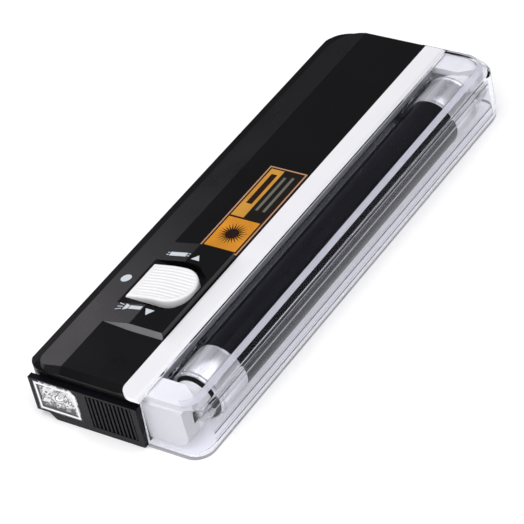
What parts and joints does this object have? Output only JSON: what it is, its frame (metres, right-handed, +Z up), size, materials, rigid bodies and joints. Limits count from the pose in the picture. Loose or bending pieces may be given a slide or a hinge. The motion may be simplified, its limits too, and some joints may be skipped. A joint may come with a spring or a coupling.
{
  "type": "counterfeit bill detector",
  "caption": "Handheld banknote checker: ultraviolet tube under a clear cover beside a black case, with a torch, a slide switch and a battery bay.",
  "frame": {"origin": "centre of the object's footprint, on the surface that it lies on", "axes": "+Z up, out of the side with the switch; +Y along the length, from the torch end to the far end; +X across the width, towards the tube"},
  "size_m": [0.0572, 0.1624, 0.0207],
  "materials": {
    "case_black": "black moulded plastic, fine satin texture",
    "bezel_black": "black moulded plastic, satin",
    "white_plastic": "white moulded plastic, glossy",
    "clear_plastic": "clear polished plastic cover",
    "lens_clear": "clear plastic torch window",
    "chrome_reflector": "vacuum-metallised plastic, bright",
    "bulb_glass": "clear bulb glass",
    "nickel_metal": "plated sheet metal",
    "mirror_film": "mirror film",
    "brass_contact": "brass contact blade",
    "tube_black_glass": "black ultraviolet filter glass, polished",
    "cap_aluminium": "drawn aluminium, lightly brushed",
    "base_black": "black insulating disc",
    "switch_black": "black plastic",
    "switch_white": "white moulded plastic, satin gloss",
    "board_brown": "brown laminate board",
    "ferrite": "dark ferrite",
    "coil_tape": "taped copper coil",
    "part_black": "moulded component body",
    "capacitor_blue": "sleeved aluminium can",
    "capacitor_brown": "dipped film capacitor",
    "resistor_tan": "lacquered resistor body",
    "cell_wrap": "printed cell wrap with no text",
    "spring_steel": "plated spring steel",
    "screw_steel": "zinc-plated steel",
    "label_print": "printed sticker, gloss laminate",
    "wire_white": "white insulated wire",
    "wire_red": "red insulated wire"
  },
  "bodies": {
    "case": {"top_shell": "case_black", "bottom_shell": "case_black", "torch_bezel": "bezel_black", "torch_lens": "lens_clear", "torch_reflector": "chrome_reflector", "torch_bulb_glass": "bulb_glass", "torch_bulb_base": "nickel_metal", "torch_socket": "switch_black", "tube_frame": "white_plastic", "mirror_reflector": "mirror_film", "lamp_holder_near": "white_plastic", "lamp_holder_far": "white_plastic", "socket_contacts_near": "brass_contact", "socket_contacts_far": "brass_contact", "slide_switch_can": "nickel_metal", "slide_switch_base": "board_brown", "circuit_board": "board_brown", "transformer_core": "ferrite", "transformer_coil": "coil_tape", "transistor": "part_black", "smoothing_capacitors": "capacitor_blue", "film_capacitor": "capacitor_brown", "resistors": "resistor_tan", "battery_1": "cell_wrap", "battery_2": "cell_wrap", "battery_3": "cell_wrap", "battery_4": "cell_wrap", "battery_contacts": "nickel_metal", "battery_springs": "spring_steel", "housing_screws": "screw_steel", "info_label": "label_print", "lamp_wires": "wire_white", "power_wires": "wire_red", "torch_wires": "wire_red"},
    "switch": {"switch_knob": "switch_white", "switch_actuator": "switch_black"},
    "cover": {"clear_cover": "clear_plastic"},
    "door": {"battery_door": "case_black"},
    "lamp": {"uv_tube_glass": "tube_black_glass", "tube_cap_near": "cap_aluminium", "tube_cap_far": "cap_aluminium", "tube_base_near": "base_black", "tube_base_far": "base_black", "tube_pins": "nickel_metal", "tube_cathodes": "nickel_metal", "socket_rotor_near": "white_plastic", "socket_rotor_far": "white_plastic"}
  },
  "joints": [
    {"name": "switch_slide", "type": "slide", "parent": "case", "child": "switch", "axis": [0, 1, 0], "range_m": [-0.0022, 0.0022]},
    {"name": "cover_pull_off", "type": "slide", "parent": "case", "child": "cover", "axis": [1, 0, 0], "range_m": [0, 0.03]},
    {"name": "door_slide_off", "type": "slide", "parent": "case", "child": "door", "axis": [0, 1, 0], "range_m": [0, 0.115]},
    {"name": "tube_turn", "type": "hinge", "parent": "case", "child": "lamp", "pos_m": [0.0188, 0.00115, 0.009], "axis": [0, 1, 0], "range_deg": [0, 90]}
  ]
}
